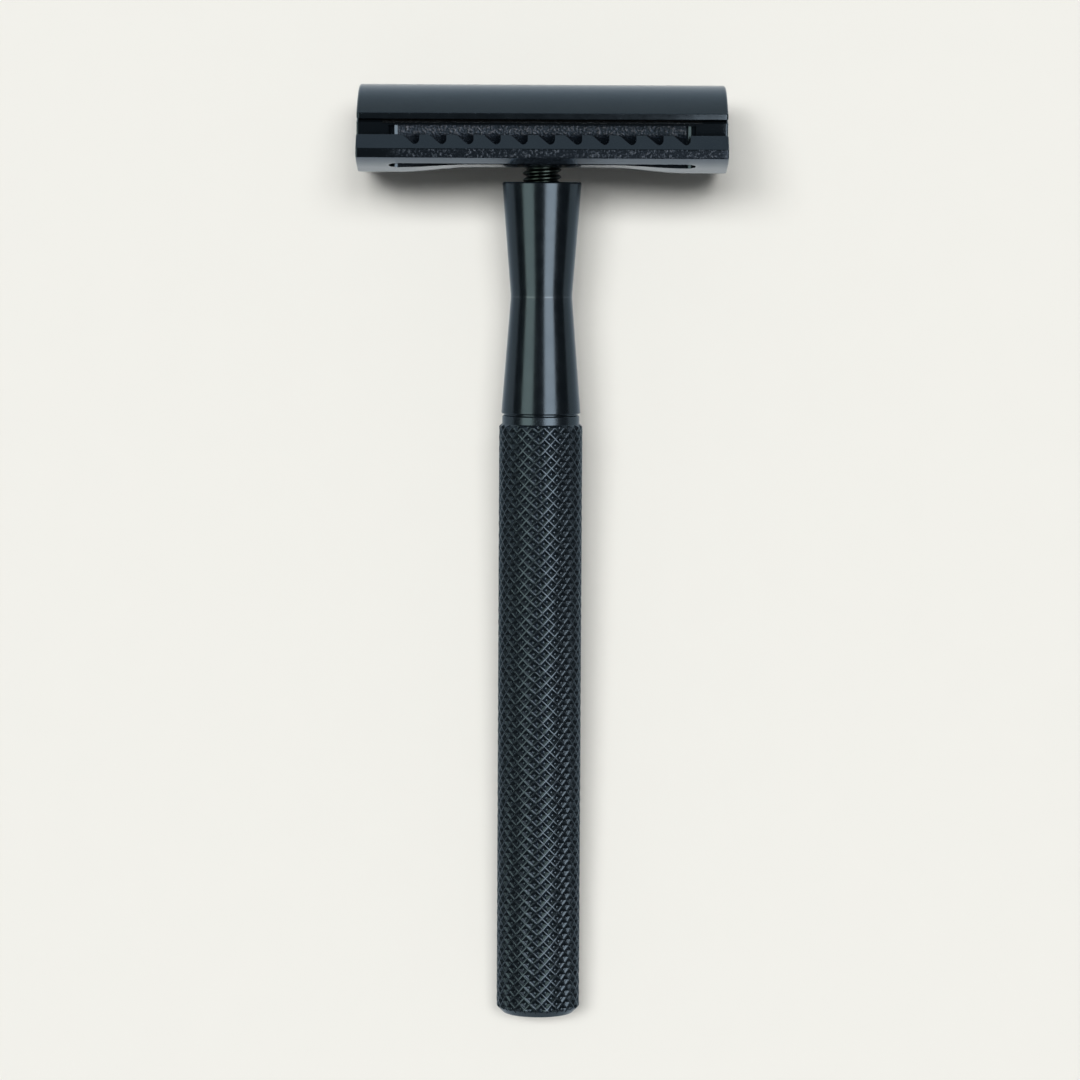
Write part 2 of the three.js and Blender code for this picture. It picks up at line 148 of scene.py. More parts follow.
POST_OFFSET = (POST_LOW.x + POST_HIGH.x) / 2
POST_RADIUS = (POST_HIGH.x - POST_LOW.x) / 2
STUD_RADIUS = STUD_HIGH.x
RUNNING_GAP = 0.4
FIXED_GAP = 0.12

THREAD_PITCH = 0.8
THREAD_CREST_RADIUS = 2.3
THREAD_ROOT_RADIUS = 1.86
BUSH_THREAD_CREST_RADIUS = 2.4
BUSH_THREAD_ROOT_RADIUS = 2.7
# Where the thread's flat root ends and its flat crest starts and ends, as shares of the pitch.
THREAD_ROOT_END = 0.12
THREAD_CREST_START = 0.46
THREAD_CREST_END = 0.6
# How far a thread is made past the crest it is trimmed to.
THREAD_SPARE = 0.02

NECK_RADIUS = NECK_HIGH.x
NECK_WAIST_RADIUS = 3.66
NECK_WAIST_LEVEL = -13.6
NECK_WAIST_LAND = 0.6
NECK_END_LEVEL = -27.5
NECK_EDGE_ROUND = 0.2
NECK_STEP_RADIUS = 4.42
NECK_STEP_LENGTH = 0.22
NECK_BORE_RADIUS = BUSH_HIGH.x + FIXED_GAP
NECK_BORE_END = BUSH_LOW.y - FIXED_GAP
TENON_RADIUS = PLUG_HIGH.x

GRIP_RADIUS = GRIP_HIGH.x
GRIP_BORE_RADIUS = 3.4
GRIP_END_CHAMFER = 0.8
GRIP_TOP_CHAMFER = 0.3
COLLAR_RADIUS = 4.6
COLLAR_LENGTH = 1

# The knurl is a net of ridges round diamond pits. Its columns lean a little, so the two hands of
# ridge differ in lead.
KNURL_STARTS = 23
KNURL_PERIOD = 1.38
KNURL_LEAN = math.radians(3.4)
KNURL_DEPTH = 0.33
# From a ridge's crown to a pit's flat floor: how far into the cell, and the share of the depth left.
KNURL_PROFILE = ((0.05, 1.0), (0.12, 0.88), (0.33, 0.14), (0.42, 0.0))

TURNED_SEGMENTS = 160
HOLE_SEGMENTS = 64
SMALLEST_ROUND = 0.02
# The angle between two faces from which their shared edge is drawn sharp.
SHARP_ANGLE = math.radians(28)
# How far a cutter reaches past what it cuts.
CUT_PAST = 1

# ---------------------------------------------------------------- derived dimensions

UNDER_CAP_RADIUS = BLADE_BEND_RADIUS + BLADE_THICKNESS / 2 + CLAMP_GAP
PLATFORM_RADIUS = BLADE_BEND_RADIUS - BLADE_THICKNESS / 2 - CLAMP_GAP
BEND_CENTRE_LEVEL = CAP_LIP_LEVEL - math.sqrt(UNDER_CAP_RADIUS**2 - CAP_HALF**2)
CAP_RISE = CAP_CROWN_LEVEL - CAP_SHOULDER_LEVEL
CAP_RADIUS = (CAP_HALF**2 + CAP_RISE**2) / (2 * CAP_RISE)
SOCKET_TOP_LEVEL = STUD_HIGH.y + FIXED_GAP


# ---------------------------------------------------------------- outlines

def arc(centre, radius, start, end, steps):
    """Points on an arc, from one angle to another in radians."""
    points = []
    for i in range(steps + 1):
        angle = start + (end - start) * i / steps
        points.append((centre[0] + radius * math.cos(angle), centre[1] + radius * math.sin(angle)))
    return points


def crown_arc(centre_level, radius, half_width, steps=40):
    """An arc over the handle's axis, from +half_width to -half_width, as (across, level) points."""
    reach = math.asin(half_width / radius)
    return arc((0, centre_level), radius, math.pi / 2 - reach, math.pi / 2 + reach, steps)


def sharp(points):
    """Gives each point of an outline a corner radius of nothing."""
    return [(a, b, 0) for a, b in points]


def filleted(corners, steps=6):
    """A closed outline from (a, b, radius) corners, each rounded to its own radius."""
    side_share = 0.48  # a round takes under half of each side, so it never meets the next one
    outline = []
    for i, (a, b, radius) in enumerate(corners):
        here = Vector((a, b))
        if radius <= 0:
            outline.append((a, b))
            continue
        before = Vector(corners[i - 1][:2]) - here
        after = Vector(corners[(i + 1) % len(corners)][:2]) - here
        half_angle = before.angle(after) / 2
        room = side_share * min(before.length, after.length)
        setback = min(radius / math.tan(half_angle), room)
        radius = setback * math.tan(half_angle)
        bisector = (before.normalized() + after.normalized()).normalized()
        centre = here + bisector * radius / math.sin(half_angle)
        first = here + before.normalized() * setback - centre
        last = here + after.normalized() * setback - centre
        start = math.atan2(first.y, first.x)
        turn = math.remainder(math.atan2(last.y, last.x) - start, math.tau)
        outline.extend(arc(centre, radius, start, start + turn, steps))
    return outline


def inset(corners, distance):
    """Moves a counter-clockwise outline inwards, so its outer corners round less and inner ones more."""
    moved = []
    for i, (a, b, radius) in enumerate(corners):
        here = Vector((a, b))
        before = (here - Vector(corners[i - 1][:2])).normalized()
        after = (Vector(corners[(i + 1) % len(corners)][:2]) - here).normalized()
        normal_before = Vector((-before.y, before.x))
        normal_after = Vector((-after.y, after.x))
        step = (normal_before + normal_after) * distance / (1 + normal_before.dot(normal_after))
        if radius > 0:
            outer = before.cross(after) > 0
            radius = max(radius - distance, SMALLEST_ROUND) if outer else radius + distance
        moved.append((a + step.x, b + step.y, radius))
    return moved


def rounded_rectangle(half_length, low, high, radius):
    corners = [(-half_length, low), (half_length, low), (half_length, high), (-half_length, high)]
    return filleted([(a, b, radius) for a, b in corners])


# ---------------------------------------------------------------- mesh making

def mesh_object(points, faces):
    """A scratch object in millimetres, with its faces turned to point out."""
    mesh = bpy.data.meshes.new("scratch")
    mesh.from_pydata(points, [], faces)
    bm = bmesh.new()
    bm.from_mesh(mesh)
    bmesh.ops.recalc_face_normals(bm, faces=bm.faces)
    bm.to_mesh(mesh)
    bm.free()
    made = bpy.data.objects.new("scratch", mesh)
    bpy.context.scene.collection.objects.link(made)
    return made


def loft(layers):
    """A closed solid through layers of points of equal count, with flat faces at both ends."""
    count = len(layers[0])
    points = [point for layer in layers for point in layer]
    faces = []
    for start in range(0, len(points) - count, count):
        for i in range(count):
            after = (i + 1) % count
            faces.append((start + i, start + after, start + count + after, start + count + i))
    faces.append(tuple(range(count)))
    faces.append(tuple(range(len(points) - count, len(points))))
    return mesh_object(points, faces)


def along_head(stations):
    """Lofts (x, outline) stations, whose outlines are (across, level) points."""
    return loft([[(x, level, across) for across, level in outline] for x, outline in stations])


def across_head(outline, from_z, to_z):
    return loft([[(x, level, z) for x, level in outline] for z in (from_z, to_z)])


def up_axis(plan, from_level, to_level):
    return loft([[(x, level, z) for x, z in plan] for level in (from_level, to_level)])


def rod(radius, from_level, to_level, x=0.0):
    return up_axis(arc((x, 0), radius, 0, math.tau, HOLE_SEGMENTS)[:-1], from_level, to_level)


def lathe(profile, x=0.0):
    """Turns a closed (radius, level) profile about the handle's axis, or an axis beside it."""
    points = []
    rings = []
    for radius, level in profile:
        start = len(points)
        on_axis = radius < 1e-6
        rings.append((start, on_axis))
        for i in range(1 if on_axis else TURNED_SEGMENTS):
            angle = math.tau * i / TURNED_SEGMENTS
            points.append((x + radius * math.sin(angle), level, radius * math.cos(angle)))
    faces = []
    for (a, a_on_axis), (b, b_on_axis) in zip(rings, rings[1:] + rings[:1]):
        if a_on_axis and b_on_axis:
            continue
        for i in range(TURNED_SEGMENTS):
            after = (i + 1) % TURNED_SEGMENTS
            low = (a,) if a_on_axis else (a + after, a + i)
            high = (b,) if b_on_axis else (b + i, b + after)
            faces.append(low + high)
    return mesh_object(points, faces)


def close_with_fans(points, faces):
    """Closes the two open ends of a rod's surface with fans to points on its axis."""
    edges = {}
    for face in faces:
        for a, b in zip(face, face[1:] + face[:1]):
            edges.setdefault(frozenset((a, b)), []).append((a, b))
    levels = [point[1] for point in points]
    middle = (min(levels) + max(levels)) / 2
    points.append((0, min(levels), 0))
    points.append((0, max(levels), 0))
    for used in edges.values():
        if len(used) == 1:
            a, b = used[0]
            hub = len(points) - (2 if points[a][1] < middle else 1)
            faces.append((b, a, hub))
    return mesh_object(points, faces)


def threaded_rod(crest_radius, root_radius, from_level, to_level):
    """A right-hand threaded rod, whose vertices follow the helix."""
    profile = [
        (0, root_radius), (THREAD_ROOT_END, root_radius),
        (THREAD_CREST_START, crest_radius), (THREAD_CREST_END, crest_radius),
    ]
    first = math.floor(from_level / THREAD_PITCH)
    turns = math.ceil(to_level / THREAD_PITCH) - first + 1
    segments = HOLE_SEGMENTS
    columns = len(profile)
    points = []
    for step in range(turns * segments + 1):
        angle = math.tau * step / segments
        for share, radius in profile:
            level = (first + step / segments + share) * THREAD_PITCH
            points.append((radius * math.sin(angle), level, radius * math.cos(angle)))
    faces = []
    for step in range(turns * segments):
        for column in range(columns):
            a = step * columns + column
            b = a + 1
            if column == columns - 1:
                if step >= (turns - 1) * segments:
                    continue
                b = (step + segments) * columns
            faces.append((a, b, b + columns, a + columns))
    return close_with_fans(points, faces)


def knurled_rod(from_level, to_level):
    """A rod covered in diamond pits: cells of a lattice whose two sets of lines are the ridges.

    u counts the lines of one hand and v those of the other. A cell lies between two lines of each,
    and has its corners at the left, the top, the right and the bottom, seen from outside.
    """
    cell_width = math.tau * GRIP_RADIUS / KNURL_STARTS
    drift = math.tan(KNURL_LEAN) * KNURL_PERIOD / cell_width
    u_per_mm = (1 + drift) / KNURL_PERIOD
    v_per_mm = (1 - drift) / KNURL_PERIOD
    both = u_per_mm + v_per_mm
    lowest = math.floor(from_level * both)
    rows = math.ceil(to_level * both) - lowest + 1
    floor_radius = GRIP_RADIUS - KNURL_DEPTH
    left, top, right, bottom = range(4)
    corners = 4
    per_cell = corners * len(KNURL_PROFILE)

    points = []
    for start in range(KNURL_STARTS):
        for row in range(rows):
            for near, height in KNURL_PROFILE:
                far = 1 - near
                radius = floor_radius + height * KNURL_DEPTH
                for past_u, past_v in ((near, near), (far, near), (far, far), (near, far)):
                    u = start + past_u
                    v = start - lowest - row + past_v
                    level = (u - v) / both
                    angle = math.tau * (u - level * u_per_mm) / KNURL_STARTS
                    points.append((radius * math.sin(angle), level, radius * math.cos(angle)))

    def corner(start, row, number):
        """A cell's corner: the first four are on the ridges' crowns, the last four on the floor."""
        wrapped = start % KNURL_STARTS
        return (wrapped * rows + row) * per_cell + number

    faces = []
    for start in range(KNURL_STARTS):
        for row in range(rows):
            faces.append(tuple(corner(start, row, i) for i in range(per_cell - corners, per_cell)))
            for ring in range(0, per_cell - corners, corners):
                deeper = ring + corners
                for i in range(corners):
                    after = (i + 1) % corners
                    side = (ring + i, ring + after, deeper + after, deeper + i)
                    faces.append(tuple(corner(start, row, number) for number in side))
            # The crowns of the ridges to the cells above and below, and of the crossing between them.
            row_above = row + 1
            row_below = row - 1
            if row_above < rows:
                faces.append((
                    corner(start, row, top), corner(start + 1, row_above, left),
                    corner(start + 1, row_above, bottom), corner(start, row, right),
                ))
            if row_below >= 0:
                faces.append((
                    corner(start, row, bottom), corner(start, row, right),
                    corner(start, row_below, top), corner(start, row_below, left),
                ))
            if row_above < rows and row_below >= 0:
                faces.append((
                    corner(start, row, right), corner(start + 1, row_above, bottom),
                    corner(start + 1, row, left), corner(start, row_below, top),
                ))
    return close_with_fans(points, faces)


def combined(solid, others, operation):
    """Cuts, joins or trims a solid by others, which are used up."""
    for other in others:
        modifier = solid.modifiers.new("combine", "BOOLEAN")
        modifier.operation = operation
        modifier.solver = "MANIFOLD"
        modifier.object = other
    depsgraph = bpy.context.evaluated_depsgraph_get()
    result = bpy.data.meshes.new_from_object(solid.evaluated_get(depsgraph))
    solid.modifiers.clear()
    solid.data = result
    for other in others:
        bpy.data.objects.remove(other)
    return solid


def finished(solid, name, body, node, slot, *materials):
    """Names and places a piece, gives it its finish and lets it ride on its CAD body."""
    solid.name = name
    solid.data.name = name
    solid.data.transform(Matrix.Scale(MM, 4))
    solid.data.shade_smooth()
    solid.data.set_sharp_from_angle(angle=SHARP_ANGLE)
    solid.data.materials.clear()
    for material in materials:
        solid.data.materials.append(material)
    solid.matrix_world = RAZOR
    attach(solid, body)
    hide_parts(node)
    return solid


# ---------------------------------------------------------------- material helpers

def add_node(tree, kind, inputs=None, **settings):
    """Adds a shader node, and sets or links its inputs by name or number."""
    made = tree.nodes.new("ShaderNode" + kind)
    for key, value in settings.items():
        setattr(made, key, value)
    for key, value in (inputs or {}).items():
        if isinstance(value, bpy.types.NodeSocket):
            tree.links.new(value, made.inputs[key])
        else:
            made.inputs[key].default_value = value
    return made


def new_surface(name):
    """A material with its node tree, its shader and the razor's own coordinates in metres."""
    material = bpy.data.materials.new(name)
    material.use_nodes = True
    tree = material.node_tree
    shader = tree.nodes["Principled BSDF"]
    place = add_node(tree, "TexCoord").outputs["Object"]
    return material, tree, shader, place


def noise(tree, place, size, detail=2.0, stretch=(1, 1, 1)):
    """Noise whose features are about size millimetres across, drawn out by stretch."""
    scaled = add_node(tree, "Mapping", {"Vector": place, "Scale": [1 / s for s in stretch]})
    made = add_node(tree, "TexNoise", {
        "Vector": scaled.outputs["Vector"], "Scale": 1 / (size * MM), "Detail": detail,
    })
    return made.outputs["Fac"]


def ranged(tree, value, from_low, from_high, to_low, to_high):
    made = add_node(tree, "MapRange", {
        "Value": value, "From Min": from_low, "From Max": from_high,
        "To Min": to_low, "To Max": to_high,
    })
    return made.outputs["Result"]


def multiplied(tree, a, b):
    return add_node(tree, "Math", {0: a, 1: b}, operation="MULTIPLY").outputs["Value"]


def coloured(tree, share, first, last):
    """A colour between two, each a colour or a socket, by share."""
    made = add_node(tree, "Mix", {"Factor": share}, data_type="RGBA")
    ends = [socket for socket in made.inputs if socket.type == "RGBA"]
    for socket, colour in zip(ends, (first, last)):
        if isinstance(colour, bpy.types.NodeSocket):
            tree.links.new(colour, socket)
        else:
            socket.default_value = (*colour, 1)
    return next(socket for socket in made.outputs if socket.type == "RGBA")


def set_roughness(tree, shader, marks, roughness, spread):
    """Roughness that noise varies by up to spread, either way."""
    low, high = 0.3, 0.7  # nearly all of the noise's values are between these
    varied = ranged(tree, marks, low, high, roughness - spread, roughness + spread)
    tree.links.new(varied, shader.inputs["Roughness"])


def bumped(tree, shader, heights):
    """Stacks bump layers, given as (height socket, depth in millimetres)."""
    normal = None
    for height, depth in heights:
        inputs = {"Height": height, "Distance": depth * MM, "Strength": 1.0}
        if normal is not None:
            inputs["Normal"] = normal
        normal = add_node(tree, "Bump", inputs).outputs["Normal"]
    tree.links.new(normal, shader.inputs["Normal"])


# ---------------------------------------------------------------- materials

COATING_DARK = (0.023, 0.033, 0.043)
COATING_LIGHT = (0.028, 0.039, 0.049)
# Painted highlight: the colour of the lighter line painted round the neck's waist.
COATING_PAINTED_HIGHLIGHT = (0.052, 0.066, 0.08)
COATING_EDGE_TINT = (0.68, 0.77, 0.88, 1.0)
COATING_METALLIC = 0.85
# Painted reflection: the underside's lighter, bluer copy of the coating's colours.
UNDERSIDE_LIT_DARK = (0.063, 0.086, 0.118)
UNDERSIDE_LIT_LIGHT = (0.071, 0.096, 0.13)
UNDERSIDE_LIT_EDGE_TINT = (0.9, 0.94, 0.98, 1.0)
CAST_DARK = (0.012, 0.018, 0.026)
# Painted highlight: the colour of the pebbles' crests on the cast walls and band.
CAST_CREST_HIGHLIGHT = (0.048, 0.056, 0.068)
FLOOR_DARK = (0.80, 0.793, 0.749)
FLOOR_LIGHT = (0.81, 0.803, 0.758)
SLOT_ROUGHNESS = 0.33
DEEP_SLOT_ROUGHNESS = 0.2
PLATE_ROUGHNESS = 0.12
BAND_ROUGHNESS = 0.26
UNDERSIDE_ROUGHNESS = 0.16

# The sizes of what the noise draws, and the depths of what is bumped, in millimetres.
PATCH_SIZE = 3.5
SMEAR_SIZE = 1.4
SMEAR_SPREAD = 0.03
PEEL_SIZE = 0.9
PEEL_DEPTH = 0.0025
GRAIN_SIZE = 0.16
PLATE_GRAIN_DEPTH = 0.0012
TURNING_SIZE = 0.11
TURNING_DEPTH = 0.0006
POLISH_WAVE_SIZE = 1.1
POLISH_WAVE_DEPTH = 0.0015
TOOL_LINE_SIZE = 0.07
TOOL_LINE_SPREAD = 0.06
TOOL_LINE_DEPTH = 0.0012
METAL_PATCH_SIZE = 2.0
FIBRE_SIZE = 6.0
PEBBLE_SIZE = 0.28
SLOT_PEBBLE_DEPTH = 0.11
BAND_PEBBLE_DEPTH = 0.035

# The noise from which a pebble's crest is painted lighter, as a painted highlight, and at which it is
# lightest.
SLOT_CREST_HIGHLIGHTS = (0.5, 0.66)
BAND_CRESTS_AND_HIGHLIGHTS = (0.55, 0.85)

# How far noise is drawn out along each axis, for lines round the handle's axis or along the head.
TURNING_STRETCH = (40, 1, 40)
LINES_ROUND = (12, 1, 12)
LINES_ALONG_HEAD = (12, 1, 1)

# A painted highlight line round the neck's waist has its full strength within the core distance to each
# side of its level, and it ends at the reach distance.
PAINTED_HIGHLIGHT_CORE = 0.04
PAINTED_HIGHLIGHT_REACH = 0.12

# The slots' walls are pebbled, with painted highlights, above about the level of the guard bar's top,
# and smooth and darker further in, as painted shade.
SLOT_CAST_AND_HIGHLIT_ABOVE = BAR_TOP_LEVEL + 0.2
SLOT_SMOOTH_AND_SHADED_BELOW = BAR_TOP_LEVEL - 0.25

# The cast band is between the guard bar's flat face and the underside, and fades towards -X.
BAND_TOP = BAR_TOP_LEVEL - BAR_CHAMFER_DROP + 0.05
BAND_TOP_FADE = 0.2
BAND_WAVER_SIZE = 1.5
BAND_WAVER = 0.2
BAND_FOOT = BAR_LOWER_LEVEL - 0.1
BAND_FOOT_FADE = 0.15
BAND_END = -18.8
BAND_END_FADE = 2.3
BAND_LEFT_AT_END = 0.1


def set_coating(shader, edge_tint=COATING_EDGE_TINT):
    """The constants of the black coating, whose reflections stay bluish at every angle."""
    shader.inputs["Metallic"].default_value = COATING_METALLIC
    shader.inputs["Specular Tint"].default_value = edge_tint


def satin_coating(name, roughness, grain_depth, turned=False, painted_light_scale=1.0, painted_highlight_level=None):
    """Smooth black coating: faint orange peel, fine grain, and turning lines where it is lathed.

    Where a corner runs round the piece at the given level, a lighter line is painted there: a
    painted highlight in place of the light that the corner catches.
    """
    material, tree, shader, place = new_surface(name)
    set_coating(shader)
    patches = noise(tree, place, PATCH_SIZE)
    # A scale above 1 paints a lighter copy of the coating: painted light.
    dark = [channel * painted_light_scale for channel in COATING_DARK]
    light = [channel * painted_light_scale for channel in COATING_LIGHT]
    colour = coloured(tree, patches, dark, light)
    if painted_highlight_level is not None:
        level = add_node(tree, "SeparateXYZ", {"Vector": place}).outputs["Y"]
        above, below = (
            ranged(tree, level, (painted_highlight_level + reach) * MM, (painted_highlight_level + core) * MM, 0, 1)
            for reach, core in ((-PAINTED_HIGHLIGHT_REACH, -PAINTED_HIGHLIGHT_CORE), (PAINTED_HIGHLIGHT_REACH, PAINTED_HIGHLIGHT_CORE))
        )
        # Paints the lighter line at the waist's level, as a painted highlight.
        colour = coloured(tree, multiplied(tree, above, below), colour, COATING_PAINTED_HIGHLIGHT)
    tree.links.new(colour, shader.inputs["Base Color"])
    smears = noise(tree, place, SMEAR_SIZE, detail=4)
    set_roughness(tree, shader, smears, roughness, SMEAR_SPREAD)
    heights = [
        (noise(tree, place, PEEL_SIZE), PEEL_DEPTH),
        (noise(tree, place, GRAIN_SIZE), grain_depth),
    ]
    if turned:
        lines = noise(tree, place, TURNING_SIZE, stretch=TURNING_STRETCH)
        heights.append((lines, TURNING_DEPTH))
    bumped(tree, shader, heights)
    return material


def cast_coating(name):
    """Black coating over the pebbled cast walls of the lather slots, with painted highlights on the
    pebbles' crests; deep inside them it is smoother and darker, as painted shade.
    """
    material, tree, shader, place = new_surface(name)
    set_coating(shader)
    level = add_node(tree, "SeparateXYZ", {"Vector": place}).outputs["Y"]
    # Deep in the slots the walls lose their painted highlights and are darker: painted shade.
    pebbled_and_unshaded = ranged(tree, level, SLOT_SMOOTH_AND_SHADED_BELOW * MM, SLOT_CAST_AND_HIGHLIT_ABOVE * MM, 0, 1)
    pebbles = noise(tree, place, PEBBLE_SIZE, detail=3)
    # The pebbles' crests are painted lighter: painted highlights.
    crests_and_highlights = multiplied(tree, ranged(tree, pebbles, *SLOT_CREST_HIGHLIGHTS, 0, 1), pebbled_and_unshaded)
    tree.links.new(coloured(tree, crests_and_highlights, CAST_DARK, CAST_CREST_HIGHLIGHT), shader.inputs["Base Color"])
    roughness = ranged(tree, pebbled_and_unshaded, 0, 1, DEEP_SLOT_ROUGHNESS, SLOT_ROUGHNESS)
    tree.links.new(roughness, shader.inputs["Roughness"])
    bumped(tree, shader, [(multiplied(tree, pebbles, pebbled_and_unshaded), SLOT_PEBBLE_DEPTH)])
    return material


def plate_coating(name):
    """The plate's coating: smooth, but cast below the guard bar's flat face, with painted highlights on
    the cast pebbles' crests.
    """
    material, tree, shader, place = new_surface(name)
    set_coating(shader)
    axes = add_node(tree, "SeparateXYZ", {"Vector": place})
    waver = ranged(tree, noise(tree, place, BAND_WAVER_SIZE), 0, 1, -BAND_WAVER * MM, BAND_WAVER * MM)
    level = add_node(tree, "Math", {0: axes.outputs["Y"], 1: waver}, operation="ADD").outputs["Value"]
    low = ranged(tree, level, BAND_TOP * MM, (BAND_TOP - BAND_TOP_FADE) * MM, 0, 1)
    clear_of_underside = ranged(
        tree, axes.outputs["Y"], BAND_FOOT * MM, (BAND_FOOT + BAND_FOOT_FADE) * MM, 0, 1,
    )
    clear_of_end = ranged(
        tree, axes.outputs["X"], BAND_END * MM, (BAND_END + BAND_END_FADE) * MM, BAND_LEFT_AT_END, 1,
    )
    cast = multiplied(tree, multiplied(tree, low, clear_of_underside), clear_of_end)

    patches = noise(tree, place, PATCH_SIZE)
    # The band's pebble crests are painted lighter (painted highlights) and also bumped.
    crests_and_highlights = ranged(tree, noise(tree, place, PEBBLE_SIZE, detail=3), *BAND_CRESTS_AND_HIGHLIGHTS, 0, 1)
    smooth_colour = coloured(tree, patches, COATING_DARK, COATING_LIGHT)
    cast_colour = coloured(tree, crests_and_highlights, CAST_DARK, CAST_CREST_HIGHLIGHT)
    tree.links.new(coloured(tree, cast, smooth_colour, cast_colour), shader.inputs["Base Color"])
    roughness = ranged(tree, cast, 0, 1, PLATE_ROUGHNESS, BAND_ROUGHNESS)
    tree.links.new(roughness, shader.inputs["Roughness"])
    bumped(tree, shader, [
        (noise(tree, place, GRAIN_SIZE), PLATE_GRAIN_DEPTH),
        (multiplied(tree, crests_and_highlights, cast), BAND_PEBBLE_DEPTH),
    ])
    return material


def glossy_lit_coating(name):
    """The polished coating of the plate's underside, painted lighter and bluer than the coating
    elsewhere: painted reflection of the pale table.
    """
    material, tree, shader, place = new_surface(name)
    set_coating(shader, UNDERSIDE_LIT_EDGE_TINT)
    patches = noise(tree, place, PATCH_SIZE)
    tree.links.new(coloured(tree, patches, UNDERSIDE_LIT_DARK, UNDERSIDE_LIT_LIGHT), shader.inputs["Base Color"])
    smears = noise(tree, place, SMEAR_SIZE, detail=4)
    set_roughness(tree, shader, smears, UNDERSIDE_ROUGHNESS, SMEAR_SPREAD)
    bumped(tree, shader, [(noise(tree, place, POLISH_WAVE_SIZE), POLISH_WAVE_DEPTH)])
    return material


def machined_metal(name, dark, light, roughness, stretch):
    """Bare or blackened metal with fine tool lines drawn out along stretch."""
    material, tree, shader, place = new_surface(name)
    lines = noise(tree, place, TOOL_LINE_SIZE, detail=3, stretch=stretch)
    patches = noise(tree, place, METAL_PATCH_SIZE)
    tree.links.new(coloured(tree, patches, dark, light), shader.inputs["Base Color"])
    set_roughness(tree, shader, lines, roughness, TOOL_LINE_SPREAD)
    shader.inputs["Metallic"].default_value = 1.0
    bumped(tree, shader, [(lines, TOOL_LINE_DEPTH)])
    return material


def pale_floor(name):
    """A plain matt table top."""
    material, tree, shader, place = new_surface(name)
    fibres = noise(tree, place, FIBRE_SIZE)
    tree.links.new(coloured(tree, fibres, FLOOR_DARK, FLOOR_LIGHT), shader.inputs["Base Color"])
    shader.inputs["Roughness"].default_value = 0.95
    shader.inputs["Specular IOR Level"].default_value = 0.0
    return material


# ---------------------------------------------------------------- the head

def end_rounding(radius, steps=7):
    """How far a rounded end is set in, from both the end and the sides: (from the end, inset)."""
    angles = [math.pi / 2 * i / steps for i in range(steps + 1)]
    return [(radius * (1 - math.sin(angle)), radius * (1 - math.cos(angle))) for angle in angles]


def cap_outline(set_in):
    half = CAP_HALF - set_in
    crown = sharp(crown_arc(CAP_CROWN_LEVEL - CAP_RADIUS, CAP_RADIUS - set_in, half))
    under = sharp(crown_arc(BEND_CENTRE_LEVEL, UNDER_CAP_RADIUS, half - CAP_LIP_UNDERCUT))[::-1]
    crown[0] = (*crown[0][:2], CAP_SHOULDER_ROUND)
    crown[-1] = (*crown[-1][:2], CAP_SHOULDER_ROUND)
    under[0] = (*under[0][:2], CAP_LIP_ROUND)
    under[-1] = (*under[-1][:2], CAP_LIP_ROUND)
    return filleted(crown + under)


def rounded_stations(half_length, radius, outline_at, middle_stations):
    """Stations along the head with both ends rounded over."""
    end = [(half_length - back, set_in) for back, set_in in end_rounding(radius)]
    stations = [(-x, outline_at(-x, set_in)) for x, set_in in reversed(end)]
    stations += [(x, outline_at(x, 0)) for x in middle_stations]
    stations += [(x, outline_at(x, set_in)) for x, set_in in end]
    return stations


def shaft_cutters(gap, from_level, to_level):
    """Cutters for the holes of the stud and of both guide posts, with a gap round each."""
    return [
        rod(STUD_RADIUS + gap, from_level, to_level),
        rod(POST_RADIUS + gap, from_level, to_level, POST_OFFSET),
        rod(POST_RADIUS + gap, from_level, to_level, -POST_OFFSET),
    ]


def build_cap():
    stations = rounded_stations(HEAD_HALF, CAP_END_ROUND, lambda x, set_in: cap_outline(set_in), [])
    sockets = shaft_cutters(FIXED_GAP, CAP_LIP_LEVEL - CUT_PAST, SOCKET_TOP_LEVEL)
    return combined(along_head(stations), sockets, "DIFFERENCE")


def arch_share(x):
    """0 at the head's ends, rising smoothly to 1 over its middle."""
    t = (ARCH_STARTS_AT - abs(x)) / (ARCH_STARTS_AT - ARCH_FLAT_FROM)
    t = min(max(t, 0), 1)
    return t * t * (3 - 2 * t)


def plate_outline(x, set_in):
    arch = LAND_ARCH * arch_share(x)
    guard = [
        (LAND_HALF, LAND_LEVEL_AT_ENDS + arch, LAND_ROUND),
        (SLOT_INNER, LAND_LEVEL_AT_ENDS + RIM_RISE + RIM_ARCH_SHARE * arch, 0),
        (BAR_INNER, BAR_LOWER_LEVEL - BAR_UNDER_DROP, 0),
        (PLATE_HALF, BAR_LOWER_LEVEL, SMALL_ROUND),
        (PLATE_HALF, BAR_TOP_LEVEL - BAR_CHAMFER_DROP, BAR_EDGE_ROUND),
        (PLATE_HALF - BAR_CHAMFER_WIDTH, BAR_TOP_LEVEL, SMALL_ROUND),
        (BAR_INNER, BAR_TOP_LEVEL, SMALL_ROUND),
        (BAR_INNER, VALLEY_LEVEL, SMALL_ROUND),
        (PLATFORM_HALF - PLATFORM_UNDERCUT, VALLEY_LEVEL, SMALL_ROUND),
    ]
    mirrored = [(-across, level, radius) for across, level, radius in reversed(guard)]
    platform = sharp(crown_arc(BEND_CENTRE_LEVEL, PLATFORM_RADIUS, PLATFORM_HALF))
    return filleted(inset(guard + platform + mirrored, set_in))


